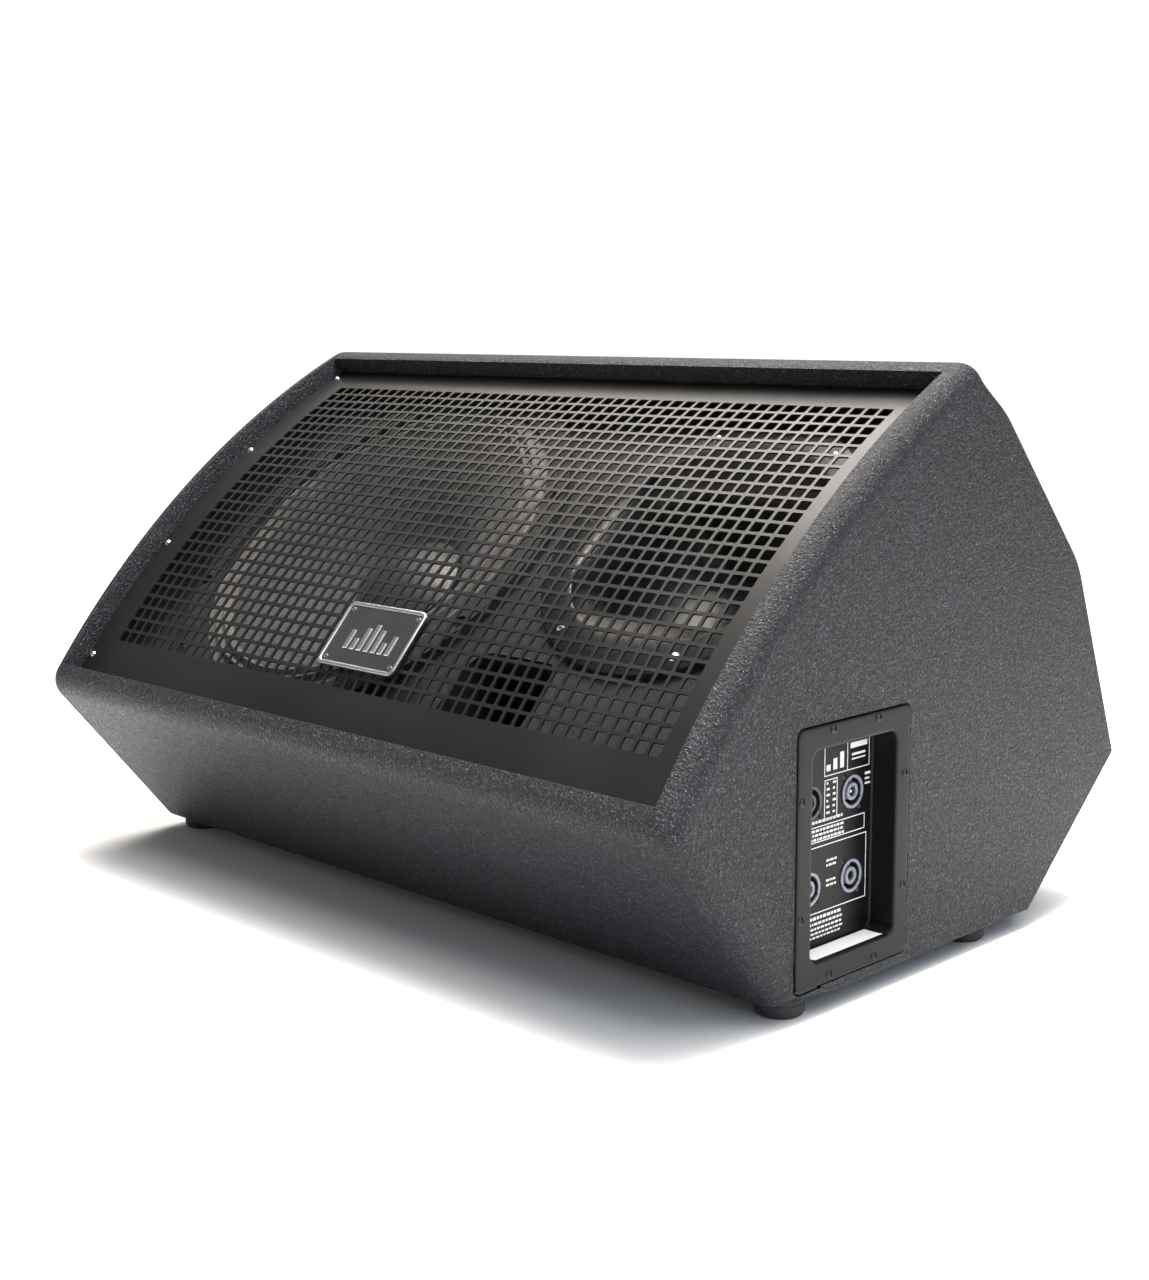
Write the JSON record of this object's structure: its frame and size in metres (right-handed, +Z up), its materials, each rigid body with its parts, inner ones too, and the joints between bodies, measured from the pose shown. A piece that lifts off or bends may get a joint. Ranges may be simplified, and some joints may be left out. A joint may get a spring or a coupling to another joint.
{
  "type": "stage monitor wedge",
  "caption": "Wedge-shaped floor loudspeaker: curved square-hole grille, large woofer and round horn behind it, side connector dish, rubber feet.",
  "frame": {"origin": "on the floor under the middle of the bounding box", "axes": "+X across the width to the connector side, +Y towards the rear, +Z up; the grille faces -Y and up"},
  "size_m": [0.7455, 0.5553, 0.4452],
  "materials": {
    "textured_coat": "sprayed fine-speckle textured charcoal coating over plywood",
    "baffle_paint": "matt black paint over plywood",
    "grille_coat": "satin black powder coat on steel",
    "bright_screw": "polished zinc plate",
    "badge_field": "satin dark paint",
    "badge_white": "satin silver-white",
    "basket": "black crinkle enamel on cast frame",
    "gasket": "matt",
    "black_screw": "black oxide steel",
    "surround_cloth": "doped pleated cloth",
    "cone_paper": "matt ribbed paper pulp",
    "former_film": "amber film",
    "copper": "enamelled copper wire",
    "spider_cloth": "resin-stiffened corrugated cloth",
    "plated_steel": "zinc plated",
    "ferrite": "ground ferrite",
    "terminal": "red moulding with plated posts",
    "horn_plastic": "semi-gloss moulded",
    "titanium": "bright formed foil",
    "dish_plastic": "semi-gloss moulded",
    "socket_black": "moulded",
    "socket_nickel": "bright nickel",
    "label_white": "white vinyl",
    "board": "phenolic board",
    "capacitor": "film capacitor wrap",
    "cable": "PVC jacket",
    "wadding": "loose polyester fibre",
    "foot_rubber": "matt moulded"
  },
  "bodies": {
    "cabinet": {"side_panel_left": "textured_coat", "side_panel_right": "textured_coat", "upper_back_panel": "textured_coat", "lower_back_panel": "textured_coat", "rear_panel": "textured_coat", "bottom_panel": "textured_coat", "kick_panel": "textured_coat", "baffle_board": "baffle_paint", "batten_left": "baffle_paint", "batten_right": "baffle_paint", "port_duct": "baffle_paint", "grille_sheet": "grille_coat", "grille_screws": "bright_screw", "badge_plate": "badge_field", "badge_rim": "badge_white", "badge_pins": "bright_screw", "woofer_frame": "basket", "woofer_gasket": "gasket", "woofer_bolts": "black_screw", "woofer_surround": "surround_cloth", "woofer_spider": "spider_cloth", "woofer_front_plate": "plated_steel", "woofer_magnet": "ferrite", "woofer_back_plate": "plated_steel", "woofer_terminals": "terminal", "horn_flare": "horn_plastic", "horn_screws": "bright_screw", "hf_front_plate": "plated_steel", "hf_magnet": "ferrite", "hf_back_plate": "plated_steel", "hf_phase_plug": "plated_steel", "hf_surround": "former_film", "hf_rear_cap": "horn_plastic", "jack_dish": "dish_plastic", "jack_screws": "black_screw", "socket_upper_front": "socket_black", "socket_upper_rear": "socket_nickel", "socket_lower_front": "socket_nickel", "socket_lower_rear": "socket_nickel", "socket_screws": "black_screw", "dish_label": "label_white", "crossover_board": "board", "crossover_coil_low": "copper", "crossover_coil_high": "copper", "crossover_capacitors": "capacitor", "woofer_leads": "cable", "horn_leads": "cable", "input_leads": "cable", "rear_lining": "wadding", "foot_front_left": "foot_rubber", "foot_front_right": "foot_rubber", "foot_rear_left": "foot_rubber", "foot_rear_right": "foot_rubber", "foot_screws": "bright_screw"},
    "woofer_piston": {"woofer_cone": "cone_paper", "woofer_dust_cap": "cone_paper", "woofer_former": "former_film", "woofer_coil": "copper"},
    "hf_piston": {"hf_diaphragm": "titanium", "hf_coil": "copper"}
  },
  "joints": [
    {"name": "woofer_cone_travel", "type": "slide", "parent": "cabinet", "child": "woofer_piston", "axis": [0, -0.6468, 0.7627], "range_m": [-0.008, 0.008], "stiffness_N_per_m": 6300, "deforming": ["woofer_surround", "woofer_spider"]},
    {"name": "hf_diaphragm_travel", "type": "slide", "parent": "cabinet", "child": "hf_piston", "axis": [0, -0.6468, 0.7627], "range_m": [-0.0004, 0.0004], "stiffness_N_per_m": 9000, "deforming": ["hf_surround"]}
  ]
}
